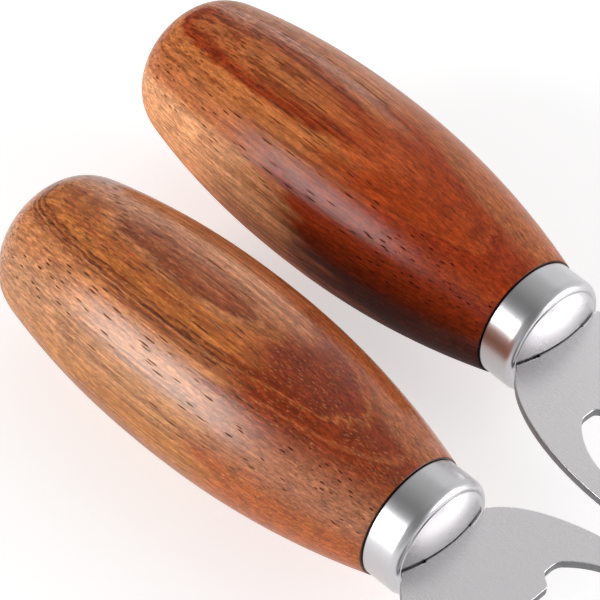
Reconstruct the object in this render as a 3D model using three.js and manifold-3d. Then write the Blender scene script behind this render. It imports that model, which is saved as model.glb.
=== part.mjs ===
// Two-armed lever nutcracker: turned wooden grips with steel ferrules on flat steel arms,
// toothed jaws riveted to the arms and one pivot screw at the far end.
// Millimetres. The pivot axis is the Z axis, the handles point towards -X, and the left arm
// is the one at negative Y. Z = 0 is the surface that the closed tool lies on.
import * as THREE from 'three';
import { mergeVertices } from 'three/addons/utils/BufferGeometryUtils.js';
import Module from 'manifold-3d';

const wasm = await Module();
wasm.setup();

// Arm layout: each grip's axis starts at its junction (wood meets ferrule).
const JUNCTION_Y = 21.5; // half the distance between the two junctions
const CONVERGENCE = THREE.MathUtils.degToRad(1.2); // each axis leans towards the centreline
const LEFT_REACH = 104; // junction to pivot, along X
const STAGGER = 16; // the right junction lies this much further back
const SHEET = 1.6; // thickness of the stamped arms
const LAP = 2.2; // height of the right arm above the left one

// Wooden grip: a barrel turned about its axis, with a blunt butt.
const GRIP_LENGTH = 87;
const GRIP_RADIUS = 17.6;
const BELLY = 45.2; // distance of the thickest section from the junction
const BARREL_CURVE = 0.00203;
const BARREL_POWER = 2.12;
const BUTT_ROUNDING = 9;
const BUTT_POWER = 2.9;
const GRIP_SIDES = 36;
const SPIGOT_RADIUS = 9.2;
const SPIGOT_LENGTH = 4.7;
const BORE_SPARE = 1; // the tang's slot runs this much past the tang

// Ferrule: a steel cup over the spigot, with a domed face that is slotted for the tang.
const FERRULE_START = 0.35;
const FERRULE_RADIUS = 10.75;
const FERRULE_BORE = 9.5;
const FERRULE_FLOOR = 5;
const SHOULDER = 5.1; // where the side starts to round over
const FACE_RADIUS = 9.4;
const FACE_RIM = 6.75;
const FACE_APEX = 8.35;

// Arm plate, measured along (s) and across (w) its grip's axis.
const TANG_LENGTH = 52;
const TANG_HALF = 5;
const TANG_CORNER = [3, 2]; // along and across, cut off each corner of its end
const CLEARANCE = 0.3;
const LOOP_CENTRE = 36; // s of the widest section
const LOOP_HALF = 19.56;
const FLANK_BASE = 6.39; // centre of the flank's ellipse, across the axis
const FLANK_LENGTH = 29.5;
const NOSE_LENGTH = 18;
const NECK_ANGLE = THREE.MathUtils.degToRad(50);
const OPENING_CENTRE = 34;
const OPENING_RADIUS = 15.4;
const OPENING_BACK = 21.9;
const TONGUE_TIP = 24.2;
const TONGUE_HALF = 4.9;
const TONGUE_ROOT = 6.5;
const TIP_ROUNDING = 1.2;
const ROOT_ROUNDING = 1.3;
const BACK_ROUNDING = 3;

// Front of the arms, measured from the pivot and from the centreline.
const STRIP_INNER = 9.8;
const STRIP_OUTER = 21.5;
const STRIP_FRONT = -20;
const STRIP_SLANT = [-2, 1]; // where the outer and the inner edge turn in, from STRIP_FRONT
const NECK_ROUNDING = [7, 1.5]; // outer and inner corner at the neck
const FRONT_ROUNDING = [9, 3]; // outer and inner corner ahead of the jaw
const EYE_RADIUS = 11;
const EYE_HOLE = 4.3;

// Jaws: blocks that straddle the strips, with a toothed seat for the nut.
const JAW_CENTRE = -35;
const JAW_HALF_LENGTH = 15;
const JAW_HEIGHT = 14;
const JAW_FACE = 0.4; // from the centreline to the flat noses, closed
const JAW_BACK = 17.5;
const SEAT_RADIUS = 18;
const SEAT_HALF_CHORD = 12;
const TEETH = 9;
const TOOTH_DEPTH = 0.9;
const NOSE_ROUNDING = 0.8;
const JAW_ROUNDING = 3;
const RIVET_Y = 13.6;
const RIVET_SPREAD = 8.5; // either side of the jaw's centre
const RIVET_RADIUS = 2;
const RIVET_HEAD = 3.6;
const RIVET_RISE = 1.5;

// Pivot stack, from the cap nut at the bottom to the screw's head.
const SHANK_RADIUS = 4;
const WASHER_RADIUS = 8;
const WASHER_THICK = 1.6;
const NUT_FLATS = 13;
const NUT_HEX = 7.4;
const NUT_DOME_RADIUS = 6.1;
const NUT_TIP_RADIUS = 2.4;
const HEAD_RADIUS = 7;
const HEAD_HEIGHT = 4.4;
const SOCKET_FLATS = 5;
const SOCKET_DEPTH = 2.6;
const HEAD_WALL = 0.8; // height of the head's straight side
const HEAD_FLAT = 0.45; // angle left over at the top of the head's arc
const NUT_WAIST = 0.5; // height at which the hexagon passes into the dome
const FOOT_RISE = 0.8; // the screw's foot above the underside of the hexagon
const FOOT_BREAK = 0.6;
const STACK_GAP = 0.05;

const LEFT_Z = GRIP_RADIUS; // mid-plane of the left arm, so its grip touches Z = 0
const RIGHT_Z = LEFT_Z + LAP;

const arms = [
  { name: 'left', side: -1, reach: LEFT_REACH, z: LEFT_Z },
  { name: 'right', side: 1, reach: LEFT_REACH + STAGGER, z: RIGHT_Z },
];

// ---- materials ----

function steel(color, roughness) {
  return new THREE.MeshStandardMaterial({ color, roughness, metalness: 1 });
}

const grainOf = { left: 0xa8622e, right: 0x8e4526 };

function wood(arm) {
  return new THREE.MeshStandardMaterial({ color: grainOf[arm.name], roughness: 0.35, metalness: 0 });
}

const polished = () => steel(0xd4d4d6, 0.18);
const satin = () => steel(0xbcbbbe, 0.38);
const cast = () => steel(0x9a9a9c, 0.5);

// ---- solids ----

function toSolid(geometry) {
  const bare = geometry.index ? geometry.toNonIndexed() : geometry.clone();
  bare.deleteAttribute('normal');
  bare.deleteAttribute('uv');
  const merged = mergeVertices(bare, 1e-4);
  return new wasm.Manifold(new wasm.Mesh({
    numProp: 3,
    vertProperties: Float32Array.from(merged.attributes.position.array),
    triVerts: Uint32Array.from(merged.index.array),
  }));
}

function toGeometry(solid) {
  const mesh = solid.getMesh();
  const geometry = new THREE.BufferGeometry();
  geometry.setAttribute('position', new THREE.BufferAttribute(mesh.vertProperties, 3));
  geometry.setIndex(new THREE.BufferAttribute(mesh.triVerts, 1));
  geometry.computeVertexNormals();
  return geometry;
}

function cut(geometry, ...tools) {
  return toGeometry(tools.reduce((solid, tool) => solid.subtract(toSolid(tool)), toSolid(geometry)));
}

function named(name, geometry, material) {
  const mesh = new THREE.Mesh(geometry, material);
  mesh.name = name;
  return mesh;
}

// A lathe whose profile runs along +X: points are [distance along the axis, radius].
function turned(profile, segments) {
  const points = profile.map(([along, radius]) => new THREE.Vector2(Math.max(radius, 0), along));
  return new THREE.LatheGeometry(points, segments).rotateZ(-Math.PI / 2);
}

// The same, standing up: points are [radius, height].
function stood(profile, segments) {
  const points = profile.map(([radius, height]) => new THREE.Vector2(radius, height));
  return new THREE.LatheGeometry(points, segments).rotateX(Math.PI / 2);
}

function slab(shape, thickness, z) {
  const geometry = new THREE.ExtrudeGeometry(shape, { depth: thickness, bevelEnabled: false });
  return geometry.translate(0, 0, z - thickness / 2);
}

function circlePoints(x, y, radius, steps = 28) {
  return ellipseArc(x, y, radius, radius, 0, 2 * Math.PI, steps).slice(1);
}

// A shape whose outline runs anticlockwise, which lets the extrusion turn its holes the right way.
function shapeWith(outline, holes) {
  const shape = new THREE.Shape(THREE.ShapeUtils.isClockWise(outline) ? outline.reverse() : outline);
  shape.holes.push(...holes.map((points) => new THREE.Path(points)));
  return shape;
}

// ---- outline helpers ----

function ellipseArc(x, y, radiusX, radiusY, from, to, steps) {
  return Array.from({ length: steps + 1 }, (_, i) => {
    const angle = from + (to - from) * i / steps;
    return new THREE.Vector2(x + radiusX * Math.cos(angle), y + radiusY * Math.sin(angle));
  });
}

// Replaces the corner between three points by an arc of the given radius.
function fillet(before, corner, after, radius, steps = 6) {
  const back = before.clone().sub(corner).normalize();
  const ahead = after.clone().sub(corner).normalize();
  const half = Math.acos(THREE.MathUtils.clamp(back.dot(ahead), -1, 1)) / 2;
  const centre = back.clone().add(ahead).normalize().multiplyScalar(radius / Math.sin(half)).add(corner);
  const start = back.clone().multiplyScalar(radius / Math.tan(half)).add(corner).sub(centre);
  const turn = (2 * half - Math.PI) * Math.sign(back.cross(ahead));
  return Array.from({ length: steps + 1 }, (_, i) => {
    return start.clone().rotateAround(new THREE.Vector2(), turn * i / steps).add(centre);
  });
}

// Angle at which a straight edge from the point touches a circle about the pivot.
function tangentAngle(point, radius, sign) {
  return point.angle() + sign * Math.acos(radius / point.length());
}

// ---- grips and ferrules, along the grip's own axis ----

function gripRadius(along) {
  const barrel = GRIP_RADIUS - BARREL_CURVE * Math.abs(along + BELLY) ** BARREL_POWER;
  const left = Math.max(0, 1 - (along + GRIP_LENGTH) / BUTT_ROUNDING);
  return barrel * (1 - left ** BUTT_POWER) ** (1 / BUTT_POWER);
}

function gripProfile() {
  const buttSteps = 6;
  const barrelSteps = 13;
  const profile = [];
  for (let i = 0; i < buttSteps; i += 1) {
    profile.push(-GRIP_LENGTH + BUTT_ROUNDING * (i / buttSteps) ** 2.2);
  }
  for (let i = 0; i <= barrelSteps; i += 1) {
    profile.push(-GRIP_LENGTH + BUTT_ROUNDING + (GRIP_LENGTH - BUTT_ROUNDING) * i / barrelSteps);
  }
  return profile.map((along) => [along, gripRadius(along)]);
}

function grip() {
  const spigot = [[0, SPIGOT_RADIUS], [SPIGOT_LENGTH, SPIGOT_RADIUS], [SPIGOT_LENGTH, 0]];
  const body = turned([...gripProfile(), ...spigot], GRIP_SIDES);
  const depth = TANG_LENGTH + SPIGOT_LENGTH + 2 * BORE_SPARE;
  const bore = new THREE.BoxGeometry(depth, 2 * (TANG_HALF + CLEARANCE), SHEET + 2 * CLEARANCE);
  bore.translate(SPIGOT_LENGTH + BORE_SPARE - depth / 2, 0, 0);
  return cut(body, bore);
}

function domeHeight(w) {
  const rise = FACE_APEX - FACE_RIM;
  const radius = (FACE_RADIUS ** 2 + rise ** 2) / (2 * rise);
  return FACE_APEX - radius + Math.sqrt(radius ** 2 - w ** 2);
}

function ferrule() {
  const shoulder = ellipseArc(SHOULDER, FACE_RADIUS, FACE_RIM - SHOULDER, FERRULE_RADIUS - FACE_RADIUS,
    Math.PI / 2, 0, 4).map((p) => [p.x, p.y]);
  const dome = [0.8, 0.5, 0].map((part) => [domeHeight(part * FACE_RADIUS), part * FACE_RADIUS]);
  const cup = turned([
    [FERRULE_FLOOR, 0], [FERRULE_FLOOR, FERRULE_BORE], [FERRULE_START, FERRULE_BORE],
    [FERRULE_START, FERRULE_RADIUS], ...shoulder, ...dome], GRIP_SIDES);
  const slot = new THREE.BoxGeometry(FACE_APEX, 2 * (TANG_HALF + CLEARANCE), SHEET + 2 * CLEARANCE);
  return cut(cup, slot.translate(FACE_APEX, 0, 0));
}

// ---- arm plates, drawn from above in the tool's frame ----

// Turns (s along, w outwards from) the grip's axis into the tool's frame, for positive Y.
function armPoint(arm, s, w) {
  const sin = Math.sin(CONVERGENCE);
  const cos = Math.cos(CONVERGENCE);
  return new THREE.Vector2(-arm.reach + s * cos + w * sin, JUNCTION_Y - s * sin + w * cos);
}

// One half of the tang, shoulders and loop, from the tang's end to where the strip leaves it.
function loopEdge(arm, sign) {
  const [along, across] = TANG_CORNER;
  const shoulderSteps = 3;
  const edge = [[-TANG_LENGTH, TANG_HALF - across], [-TANG_LENGTH + along, TANG_HALF]];
  for (let i = 0; i <= shoulderSteps; i += 1) {
    const w = TANG_HALF + (FACE_RADIUS - TANG_HALF) * i / shoulderSteps;
    edge.push([domeHeight(w) + CLEARANCE, w]);
  }
  const start = Math.PI - Math.asin((FACE_RADIUS - FLANK_BASE) / (LOOP_HALF - FLANK_BASE));
  const flank = ellipseArc(LOOP_CENTRE, FLANK_BASE, FLANK_LENGTH, LOOP_HALF - FLANK_BASE, start, Math.PI / 2, 13);
  const nose = ellipseArc(LOOP_CENTRE, 0, NOSE_LENGTH, LOOP_HALF, Math.PI / 2, Math.PI / 2 - NECK_ANGLE, 6);
  const curved = [...flank.slice(1), ...nose.slice(1)].map((p) => [p.x, p.y]);
  return [...edge, ...curved].map(([s, w]) => armPoint(arm, s, sign * w));
}

// Where the nose's tangent, from the last point of a loop edge, meets a line of constant Y.
function leaveTo(edge, y) {
  const [before, last] = edge.slice(-2);
  const step = last.clone().sub(before);
  return last.clone().addScaledVector(step, (y - last.y) / step.y);
}

function plateOutline(arm) {
  const outer = loopEdge(arm, 1);
  const inner = loopEdge(arm, -1);
  const outerNeck = leaveTo(outer, STRIP_OUTER);
  const innerNeck = leaveTo(inner, STRIP_INNER);
  const outerFront = new THREE.Vector2(STRIP_FRONT + STRIP_SLANT[0], STRIP_OUTER);
  const innerFront = new THREE.Vector2(STRIP_FRONT + STRIP_SLANT[1], STRIP_INNER);
  const eyeFrom = tangentAngle(outerFront, EYE_RADIUS, -1);
  const eyeTo = tangentAngle(innerFront, EYE_RADIUS, 1) - 2 * Math.PI;
  const eye = ellipseArc(0, 0, EYE_RADIUS, EYE_RADIUS, eyeFrom, eyeTo, 22);
  return [
    ...outer.slice(0, -1),
    ...fillet(outer.at(-1), outerNeck, outerFront, NECK_ROUNDING[0]),
    ...fillet(outerNeck, outerFront, eye[0], FRONT_ROUNDING[0]),
    ...eye,
    ...fillet(eye.at(-1), innerFront, innerNeck, FRONT_ROUNDING[1]),
    ...fillet(innerFront, innerNeck, inner.at(-1), NECK_ROUNDING[1], 4),
    ...inner.slice(0, -1).reverse(),
  ];
}

// A circle whose back is cut off square, with a tongue that stands in from the cut.
function openingOutline(arm) {
  const at = (s, w) => new THREE.Vector2(s, w);
  const inset = OPENING_CENTRE - OPENING_BACK;
  const backHalf = Math.sqrt(OPENING_RADIUS ** 2 - inset ** 2);
  const ring = Math.PI - Math.asin(backHalf / OPENING_RADIUS);
  const half = (sign) => {
    const tip = at(TONGUE_TIP, sign * TONGUE_HALF);
    const root = at(OPENING_BACK, sign * TONGUE_ROOT);
    const corner = at(OPENING_BACK, sign * backHalf);
    const beyond = at(OPENING_BACK + backHalf, sign * (backHalf + inset));
    return [
      ...fillet(at(TONGUE_TIP, 0), tip, root, TIP_ROUNDING, 4),
      ...fillet(tip, root, corner, ROOT_ROUNDING, 4),
      ...fillet(root, corner, beyond, BACK_ROUNDING, 4),
    ];
  };
  const start = ring - BACK_ROUNDING / (OPENING_RADIUS * Math.tan(ring / 2));
  const round = ellipseArc(OPENING_CENTRE, 0, OPENING_RADIUS, OPENING_RADIUS, start, -start, 32);
  return [...half(1), ...round, ...half(-1).reverse()].map((p) => armPoint(arm, p.x, p.y));
}

function mirrored(points, arm) {
  return points.map((p) => new THREE.Vector2(p.x, arm.side * p.y));
}

function armPlate(arm) {
  const holes = [mirrored(openingOutline(arm), arm), circlePoints(0, 0, EYE_HOLE), ...rivetHoles(arm)];
  return slab(shapeWith(mirrored(plateOutline(arm), arm), holes), SHEET, arm.z);
}

// ---- jaws and their rivets ----

function rivetPlaces() {
  return [JAW_CENTRE - RIVET_SPREAD, JAW_CENTRE + RIVET_SPREAD];
}

function rivetHoles(arm) {
  return rivetPlaces().map((x) => circlePoints(x, arm.side * RIVET_Y, RIVET_RADIUS + CLEARANCE, 16));
}

// The seat is an arc with V-shaped teeth cut along it; the noses either side stay flat.
function jawOutline() {
  const reachAngle = Math.asin(SEAT_HALF_CHORD / SEAT_RADIUS);
  const centreY = JAW_FACE - SEAT_RADIUS * Math.cos(reachAngle);
  const seat = Array.from({ length: 2 * TEETH + 1 }, (_, i) => {
    const angle = reachAngle * (1 - i / TEETH);
    const radius = SEAT_RADIUS + (i % 2) * TOOTH_DEPTH;
    return new THREE.Vector2(JAW_CENTRE + radius * Math.sin(angle), centreY + radius * Math.cos(angle));
  });
  const front = JAW_CENTRE + JAW_HALF_LENGTH;
  const rear = JAW_CENTRE - JAW_HALF_LENGTH;
  const corner = (x, y) => new THREE.Vector2(x, y);
  return [
    ...seat,
    ...fillet(seat.at(-1), corner(rear, JAW_FACE), corner(rear, JAW_BACK), NOSE_ROUNDING, 3),
    ...fillet(corner(rear, JAW_FACE), corner(rear, JAW_BACK), corner(front, JAW_BACK), JAW_ROUNDING),
    ...fillet(corner(rear, JAW_BACK), corner(front, JAW_BACK), corner(front, JAW_FACE), JAW_ROUNDING),
    ...fillet(corner(front, JAW_BACK), corner(front, JAW_FACE), seat[0], NOSE_ROUNDING, 3),
  ];
}

function jaw(arm) {
  const shape = shapeWith(mirrored(jawOutline(), arm), rivetHoles(arm));
  const slotBottom = STRIP_INNER - CLEARANCE;
  const slot = new THREE.BoxGeometry(3 * JAW_HALF_LENGTH, JAW_BACK, SHEET + 2 * CLEARANCE);
  slot.translate(JAW_CENTRE, arm.side * (slotBottom + JAW_BACK / 2), arm.z);
  return cut(slab(shape, JAW_HEIGHT, arm.z), slot);
}

function jawRivet(arm, x) {
  const reach = JAW_HEIGHT / 2 + STACK_GAP;
  const head = ellipseArc(0, reach, RIVET_HEAD, RIVET_RISE, 0, Math.PI / 2, 3).map((p) => [p.x, p.y]);
  const upper = [[RIVET_RADIUS, reach], ...head];
  const lower = upper.map(([radius, height]) => [radius, -height]).reverse();
  return stood([...lower, ...upper], 16).translate(x, arm.side * RIVET_Y, arm.z);
}

// ---- pivot stack ----

function washer(outer, bottom, thickness) {
  const shape = shapeWith(circlePoints(0, 0, outer, 36), [circlePoints(0, 0, SHANK_RADIUS + CLEARANCE)]);
  return slab(shape, thickness, bottom + thickness / 2);
}

function hexagon(flats) {
  const radius = flats / Math.sqrt(3);
  return new THREE.Shape(Array.from({ length: 6 }, (_, i) => {
    return new THREE.Vector2(radius, 0).rotateAround(new THREE.Vector2(), i * Math.PI / 3);
  }));
}

const topOfArms = RIGHT_Z + SHEET / 2;
const bottomOfArms = LEFT_Z - SHEET / 2;
const nutTop = bottomOfArms - WASHER_THICK - 2 * STACK_GAP;
const headBottom = topOfArms + WASHER_THICK + 2 * STACK_GAP;

function capNut() {
  const hex = slab(hexagon(NUT_FLATS), NUT_HEX, nutTop - NUT_HEX / 2);
  const waist = nutTop - NUT_HEX + NUT_WAIST;
  const sweep = Math.acos(NUT_TIP_RADIUS / NUT_DOME_RADIUS);
  const dome = ellipseArc(0, waist, NUT_DOME_RADIUS, -waist / Math.sin(sweep), 0, sweep, 6)
    .map((p) => [p.x, p.y]);
  const cap = stood([[0, 0], ...dome.reverse(), [0, waist]], 28);
  const thread = new THREE.CylinderGeometry(SHANK_RADIUS + CLEARANCE, SHANK_RADIUS + CLEARANCE, nutTop, 28);
  thread.rotateX(Math.PI / 2).translate(0, 0, nutTop - NUT_HEX + nutTop / 2);
  return toGeometry(toSolid(hex).add(toSolid(cap)).subtract(toSolid(thread)));
}

function pivotScrew() {
  const foot = nutTop - NUT_HEX + FOOT_RISE;
  const sweep = Math.PI / 2 - HEAD_FLAT;
  const head = ellipseArc(0, headBottom + HEAD_WALL, HEAD_RADIUS, HEAD_HEIGHT - HEAD_WALL, 0, sweep, 5)
    .map((p) => [p.x, p.y]);
  const body = stood([
    [0, foot], [SHANK_RADIUS - FOOT_BREAK, foot], [SHANK_RADIUS, foot + FOOT_BREAK],
    [SHANK_RADIUS, headBottom], [HEAD_RADIUS, headBottom], ...head, [0, head.at(-1)[1]]], 28);
  const top = head.at(-1)[1];
  return cut(body, slab(hexagon(SOCKET_FLATS), 2 * SOCKET_DEPTH, top));
}

// ---- assembly ----

function alongArm(arm, meshes) {
  const group = new THREE.Group();
  group.position.set(-arm.reach, arm.side * JUNCTION_Y, arm.z);
  group.rotation.z = -arm.side * CONVERGENCE;
  group.add(...meshes);
  return group;
}

const nutcracker = new THREE.Group();
for (const arm of arms) {
  nutcracker.add(alongArm(arm, [
    named(`${arm.name}_grip`, grip(), wood(arm)),
    named(`${arm.name}_ferrule`, ferrule(), polished()),
  ]));
  nutcracker.add(named(`${arm.name}_arm_plate`, armPlate(arm), satin()));
  nutcracker.add(named(`${arm.name}_jaw`, jaw(arm), cast()));
  for (const [i, x] of rivetPlaces().entries()) {
    const place = i === 0 ? 'rear' : 'front';
    nutcracker.add(named(`${arm.name}_jaw_rivet_${place}`, jawRivet(arm, x), polished()));
  }
}
nutcracker.add(
  named('pivot_screw', pivotScrew(), polished()),
  named('head_washer', washer(WASHER_RADIUS, topOfArms + STACK_GAP, WASHER_THICK), satin()),
  named('pivot_bearing_washer', washer(EYE_RADIUS - 1.5, LEFT_Z + SHEET / 2 + STACK_GAP,
    LAP - SHEET - 2 * STACK_GAP), steel(0xb08d4a, 0.4)),
  named('nut_washer', washer(WASHER_RADIUS, bottomOfArms - STACK_GAP - WASHER_THICK, WASHER_THICK), satin()),
  named('cap_nut', capNut(), polished()),
);

export default nutcracker;
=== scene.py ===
import math

import bpy
from mathutils import Euler, Matrix, Vector


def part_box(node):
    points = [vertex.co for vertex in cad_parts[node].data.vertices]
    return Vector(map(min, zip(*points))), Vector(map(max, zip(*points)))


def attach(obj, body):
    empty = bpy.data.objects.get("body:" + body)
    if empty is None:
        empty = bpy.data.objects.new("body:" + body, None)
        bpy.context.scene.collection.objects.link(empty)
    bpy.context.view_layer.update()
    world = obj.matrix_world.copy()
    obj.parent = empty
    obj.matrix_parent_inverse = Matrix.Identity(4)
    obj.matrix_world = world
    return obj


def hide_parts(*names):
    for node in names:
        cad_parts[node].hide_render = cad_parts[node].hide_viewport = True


# Looks of the two-armed lever nutcracker: varnished hardwood grips, steel ferrules, stamped
# steel arms, cast jaws and the pivot stack. Shapes are drawn in millimetres, in the model's frame.

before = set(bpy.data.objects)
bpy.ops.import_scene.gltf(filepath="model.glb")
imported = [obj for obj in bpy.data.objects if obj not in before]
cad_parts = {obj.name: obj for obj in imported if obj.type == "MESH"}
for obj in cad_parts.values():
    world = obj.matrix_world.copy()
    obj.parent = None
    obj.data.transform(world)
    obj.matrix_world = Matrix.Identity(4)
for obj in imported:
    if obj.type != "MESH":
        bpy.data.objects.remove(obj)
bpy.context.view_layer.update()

MM = 0.001

# Arm layout, as in the CAD: each grip's axis starts at its junction (wood meets ferrule).
JUNCTION_Y = 21.5
CONVERGENCE = math.radians(1.2)
REACH = {"left": 104, "right": 120}
SIDE = {"left": -1, "right": 1}
SHEET = 1.6
ROUND_STEPS = 128
SLOT_SPARE = 1  # the tang's slot runs this much past the tang

# Wooden grip.
GRIP_LENGTH = 87
GRIP_RADIUS = 17.6
BELLY = 45.2
BARREL_CURVE = 0.00203
BARREL_POWER = 2.12
BUTT_ROUNDING = 9
BUTT_POWER = 2.9
BUTT_CROWDING = 2.2  # crowds the rings towards the butt's end
SPIGOT_RADIUS = 9.2
SPIGOT_LENGTH = 4.7
END_BREAK = 0.1

# Ferrule.
FERRULE_START = 0.12
FERRULE_RADIUS = 10.75
FERRULE_BORE = 9.5
FERRULE_FLOOR = 5
SHOULDER = 5.1
FACE_RADIUS = 9.4
FACE_RIM = 6.75
FACE_APEX = 8.35
FERRULE_EDGE = 0.15
SHOULDER_END = 0.3  # angle at which the shoulder's arc stops, above the face's rim
CREASE_WIDTH = 0.16
CREASE_DEPTH = 0.1

# Arm plate, along (s) and across (w) its grip's axis.
TANG_LENGTH = 52
TANG_HALF = 5
TANG_CORNER = (3, 2)  # along and across, cut off each corner of its end
CLEARANCE = 0.3
LOOP_CENTRE = 36
LOOP_HALF = 19.56
FLANK_BASE = 6.39
FLANK_LENGTH = 29.5
NOSE_LENGTH = 18
NECK_ANGLE = math.radians(50)
OPENING_CENTRE = 34
OPENING_RADIUS = 15.4
OPENING_BACK = 21.9
TONGUE_TIP = 24.2
TONGUE_HALF = 4.9
TONGUE_ROOT = 6.5
TIP_ROUNDING = 1.2
ROOT_ROUNDING = 1.3
BACK_ROUNDING = 3
STRIP_INNER = 9.8
STRIP_OUTER = 21.5
STRIP_FRONT = -20
STRIP_SLANT = (-2, 1)  # where the outer and the inner edge turn in, from STRIP_FRONT
NECK_ROUNDING = (7, 1.5)  # outer and inner corner at the neck
FRONT_ROUNDING = (9, 3)  # outer and inner corner ahead of the jaw
EYE_RADIUS = 11
EYE_HOLE = 4.3
EDGE_BREAK = 0.14

# Jaws and rivets.
JAW_CENTRE = -35
JAW_HALF_LENGTH = 15
JAW_HEIGHT = 14
JAW_FACE = 0.4
JAW_BACK = 17.5
SEAT_RADIUS = 18
SEAT_HALF_CHORD = 12
TEETH = 9
TOOTH_DEPTH = 0.9
JAW_EDGE = 0.45
NOSE_ROUNDING = 0.8
JAW_ROUNDING = 3
RIVET_Y = 13.6
RIVET_SPREAD = 8.5
RIVET_RADIUS = 2
RIVET_HEAD = 3.6
RIVET_RISE = 1.5

# Pivot stack.
SHANK_RADIUS = 4
WASHER_RADIUS = 8
BEARING_RADIUS = 9.5
NUT_FLATS = 13
NUT_HEX = 7.4
NUT_DOME_RADIUS = 6.1
NUT_TIP_RADIUS = 2.4
HEAD_RADIUS = 7
HEAD_HEIGHT = 4.4
SOCKET_FLATS = 5
SOCKET_DEPTH = 2.6
HEAD_WALL = 0.8  # height of the head's straight side
HEAD_FLAT = 0.45  # angle left over at the top of the head's arc
HEAD_BREAK = 0.15
FOOT_BREAK = 0.6
WASHER_BREAK = 0.2
NUT_WAIST = 0.5  # height at which the hexagon passes into the dome
NUT_CHAMFER = 0.7
NUT_CHAMFER_POWER = 0.6
STACK_GAP = 0.05


# ---- mesh helpers ----

def piece_from(name, vertices, faces, place=Matrix.Identity(4), sharp=35):
    """An object from millimetre vertices, smooth except where faces meet at a sharp angle."""
    mesh = bpy.data.meshes.new(name)
    mesh.from_pydata([place @ (Vector(v) * MM) for v in vertices], [], faces)
    mesh.validate()
    mesh.shade_smooth()
    mesh.set_sharp_from_angle(angle=math.radians(sharp))
    piece = bpy.data.objects.new(name, mesh)
    bpy.context.scene.collection.objects.link(piece)
    return piece


def turned(name, profile, segments, place=Matrix.Identity(4), radius_at=None):
    """A closed body turned about X, from points [distance along X, radius]."""
    vertices, faces, rings = [], [], []
    for index, (along, radius) in enumerate(profile):
        if radius < 1e-6:
            rings.append([len(vertices)])
            vertices.append((along, 0, 0))
            continue
        rings.append(list(range(len(vertices), len(vertices) + segments)))
        for k in range(segments):
            angle = 2 * math.pi * k / segments
            r = radius_at(index, angle) if radius_at else radius
            vertices.append((along, -r * math.sin(angle), r * math.cos(angle)))
    for a, b in zip(rings, rings[1:]):
        for k in range(segments):
            n = (k + 1) % segments
            quad = [a[k % len(a)], b[k % len(b)], b[n % len(b)], a[n % len(a)]]
            faces.append(tuple(dict.fromkeys(quad)))
    return piece_from(name, vertices, faces, place)


def standing(x, y, z):
    """The place of a turned body that stands up, with its X axis along +Z."""
    return Matrix.Translation(Vector((x, y, z)) * MM) @ Euler((0, -math.pi / 2, 0)).to_matrix().to_4x4()


def sheet_piece(name, outlines, bottom, top, edge):
    """A flat piece with holes and softened edges: the first outline is the outside."""
    curve = bpy.data.curves.new(name, "CURVE")
    curve.dimensions = "2D"
    curve.fill_mode = "BOTH"
    curve.extrude = ((top - bottom) / 2 - edge) * MM
    curve.bevel_depth = edge * MM
    curve.bevel_resolution = 2
    curve.offset = -edge * MM
    for index, points in enumerate(outlines):
        spline = curve.splines.new("POLY")
        spline.points.add(len(points) - 1)
        spline.use_cyclic_u = True
        for target, (x, y) in zip(spline.points, anticlockwise(points, index == 0)):
            target.co = (x * MM, y * MM, 0, 1)
    holder = bpy.data.objects.new(name + "_curve", curve)
    bpy.context.scene.collection.objects.link(holder)
    holder.location.z = (top + bottom) / 2 * MM
    bpy.context.view_layer.update()
    mesh = bpy.data.meshes.new_from_object(holder)
    mesh.transform(holder.matrix_world)
    bpy.data.objects.remove(holder)
    bpy.data.curves.remove(curve)
    mesh.name = name
    mesh.shade_smooth()
    mesh.set_sharp_from_angle(angle=math.radians(40))
    piece = bpy.data.objects.new(name, mesh)
    bpy.context.scene.collection.objects.link(piece)
    return piece


def anticlockwise(points, wanted):
    area = sum(a[0] * b[1] - b[0] * a[1] for a, b in zip(points, points[1:] + points[:1]))
    return points if (area > 0) == wanted else points[::-1]


def box_cutter(low, high, place=Matrix.Identity(4)):
    corners = [(x, y, z) for x in (low[0], high[0]) for y in (low[1], high[1]) for z in (low[2], high[2])]
    faces = [(0, 1, 3, 2), (4, 6, 7, 5), (0, 4, 5, 1), (2, 3, 7, 6), (0, 2, 6, 4), (1, 5, 7, 3)]
    return piece_from("cutter", corners, faces, place)


def cut(piece, cutter, sharp=35):
    """Takes the cutter's space out of the piece."""
    modifier = piece.modifiers.new("cut", "BOOLEAN")
    modifier.operation = "DIFFERENCE"
    modifier.solver = "EXACT"
    modifier.object = cutter
    bpy.context.view_layer.update()
    evaluated = piece.evaluated_get(bpy.context.evaluated_depsgraph_get())
    mesh = bpy.data.meshes.new_from_object(evaluated)
    piece.modifiers.clear()
    piece.data = mesh
    mesh.shade_smooth()
    mesh.set_sharp_from_angle(angle=math.radians(sharp))
    bpy.data.objects.remove(cutter)
    return piece


def ellipse_arc(x, y, radius_x, radius_y, start, end, steps):
    angles = [start + (end - start) * i / steps for i in range(steps + 1)]
    return [(x + radius_x * math.cos(a), y + radius_y * math.sin(a)) for a in angles]


def circle(x, y, radius, steps=64):
    return ellipse_arc(x, y, radius, radius, 0, 2 * math.pi, steps)[1:]


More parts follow.
